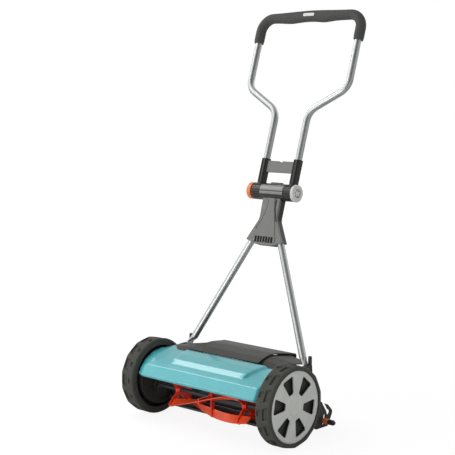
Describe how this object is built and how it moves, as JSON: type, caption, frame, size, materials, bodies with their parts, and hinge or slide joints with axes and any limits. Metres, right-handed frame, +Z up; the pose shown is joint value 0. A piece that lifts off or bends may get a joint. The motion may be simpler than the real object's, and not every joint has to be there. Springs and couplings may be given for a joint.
{
  "type": "reel mower",
  "caption": "Hand-pushed reel mower with geared wheels driving a helical cutting reel, a rear roller and a folding handle.",
  "frame": {"origin": "on the ground midway between the wheels, straight below the wheel axis", "axes": "+Z up, -Y the mowing direction, +X across towards the wheel on the viewer's right when seen from the front"},
  "size_m": [0.562, 0.5307, 1.1697],
  "materials": {
    "black_plastic": "moulded, fine grain, low sheen",
    "teal_cover": "pressed and powder coated",
    "blade_steel": "ground edge",
    "blackened_steel": "black enamel",
    "zinc_steel": "zinc plated",
    "bronze_bush": "sintered bronze",
    "sintered_steel": "sintered, oiled",
    "red_paint": "gloss enamel",
    "tyre_rubber": "moulded rubber tread",
    "grey_plastic": "moulded, satin",
    "bush_plastic": "acetal, plain",
    "orange_plastic": "moulded, satin",
    "handle_aluminium": "bright anodised tube",
    "yoke_plastic": "moulded, satin",
    "hinge_plastic": "moulded, fine grain",
    "grip_foam": "soft moulded foam",
    "light_plastic": "moulded, plain"
  },
  "bodies": {
    "chassis": {"left_side_plate": "black_plastic", "right_side_plate": "black_plastic", "left_axle": "zinc_steel", "right_axle": "zinc_steel", "axle_clips": "zinc_steel", "reel_bearings": "bronze_bush", "reel_cover": "teal_cover", "rear_hood": "black_plastic", "flap_hinge_pin": "zinc_steel", "bedknife": "blade_steel", "bedknife_carrier": "blackened_steel", "tie_rod": "blackened_steel", "frame_screws": "zinc_steel", "arm_pivot_bolts": "zinc_steel", "foot_bolts": "zinc_steel"},
    "flap": {"deflector_flap": "black_plastic"},
    "reel": {"reel_shaft": "blackened_steel", "left_spider": "red_paint", "centre_spider": "red_paint", "right_spider": "red_paint", "reel_blade_1": "red_paint", "reel_blade_2": "red_paint", "reel_blade_3": "red_paint", "reel_blade_4": "red_paint", "left_pinion": "sintered_steel", "right_pinion": "sintered_steel", "ratchet_keys": "zinc_steel"},
    "left_wheel": {"left_tyre": "tyre_rubber", "left_rim": "black_plastic", "left_wheel_cover": "grey_plastic", "left_wheel_bush": "bush_plastic"},
    "right_wheel": {"right_tyre": "tyre_rubber", "right_rim": "black_plastic", "right_wheel_cover": "grey_plastic", "right_wheel_bush": "bush_plastic"},
    "roller_frame": {"left_roller_arm": "blackened_steel", "right_roller_arm": "blackened_steel", "roller_shaft": "zinc_steel"},
    "roller": {"roller_tube": "black_plastic", "roller_plugs": "bush_plastic"},
    "left_latch": {"left_latch_sleeve": "orange_plastic", "left_latch_knob": "black_plastic"},
    "right_latch": {"right_latch_sleeve": "orange_plastic", "right_latch_knob": "black_plastic"},
    "lower_handle": {"left_lower_tube": "handle_aluminium", "right_lower_tube": "handle_aluminium", "yoke_front": "yoke_plastic", "yoke_rear": "black_plastic", "yoke_screws": "zinc_steel", "hinge_barrel": "hinge_plastic"},
    "upper_handle": {"left_socket": "hinge_plastic", "right_socket": "hinge_plastic", "bridge_plate": "yoke_plastic", "upper_tube": "handle_aluminium", "grip": "grip_foam", "grip_badge": "light_plastic", "hinge_rod": "zinc_steel", "hinge_end_cap": "light_plastic"},
    "release_button": {"release_button": "orange_plastic"}
  },
  "joints": [
    {"name": "right_wheel_spin", "type": "hinge", "parent": "chassis", "child": "right_wheel", "pos_m": [0.262, 0, 0.11], "axis": [1, 0, 0], "continuous": true},
    {"name": "left_wheel_spin", "type": "hinge", "parent": "chassis", "child": "left_wheel", "pos_m": [-0.262, 0, 0.11], "axis": [1, 0, 0], "continuous": true},
    {"name": "reel_spin", "type": "hinge", "parent": "chassis", "child": "reel", "pos_m": [0, -0.0188, 0.0906], "axis": [1, 0, 0], "continuous": true},
    {"name": "height_adjust", "type": "hinge", "parent": "chassis", "child": "roller_frame", "pos_m": [0, 0.045, 0.062], "axis": [1, 0, 0], "range_deg": [-3, 6]},
    {"name": "roller_spin", "type": "hinge", "parent": "roller_frame", "child": "roller", "pos_m": [0, 0.109, 0.019], "axis": [1, 0, 0], "continuous": true},
    {"name": "right_latch_pull", "type": "slide", "parent": "roller_frame", "child": "right_latch", "axis": [1, 0, 0], "range_m": [0, 0.005], "stiffness_N_per_m": 600, "springref_m": -0.002},
    {"name": "left_latch_pull", "type": "slide", "parent": "roller_frame", "child": "left_latch", "axis": [-1, 0, 0], "range_m": [0, 0.005], "stiffness_N_per_m": 600, "springref_m": -0.002},
    {"name": "flap_lift", "type": "hinge", "parent": "chassis", "child": "flap", "pos_m": [0, 0.019, 0.1974], "axis": [1, 0, 0], "range_deg": [0, 35]},
    {"name": "handle_tilt", "type": "hinge", "parent": "chassis", "child": "lower_handle", "pos_m": [0, 0.11059, 0.18413], "axis": [-1, 0, 0], "range_deg": [0, 38]},
    {"name": "handle_fold", "type": "hinge", "parent": "lower_handle", "child": "upper_handle", "pos_m": [0, 0.2437, 0.6453], "axis": [-1, 0, 0], "range_deg": [0, 150]},
    {"name": "release_press", "type": "slide", "parent": "upper_handle", "child": "release_button", "axis": [1, 0, 0], "range_m": [0, 0.005], "stiffness_N_per_m": 500, "springref_m": -0.002}
  ],
  "couplings": [
    {"joint": "reel_spin", "follows": "right_wheel_spin", "ratio": 4},
    {"joint": "left_wheel_spin", "follows": "right_wheel_spin", "ratio": 1}
  ]
}
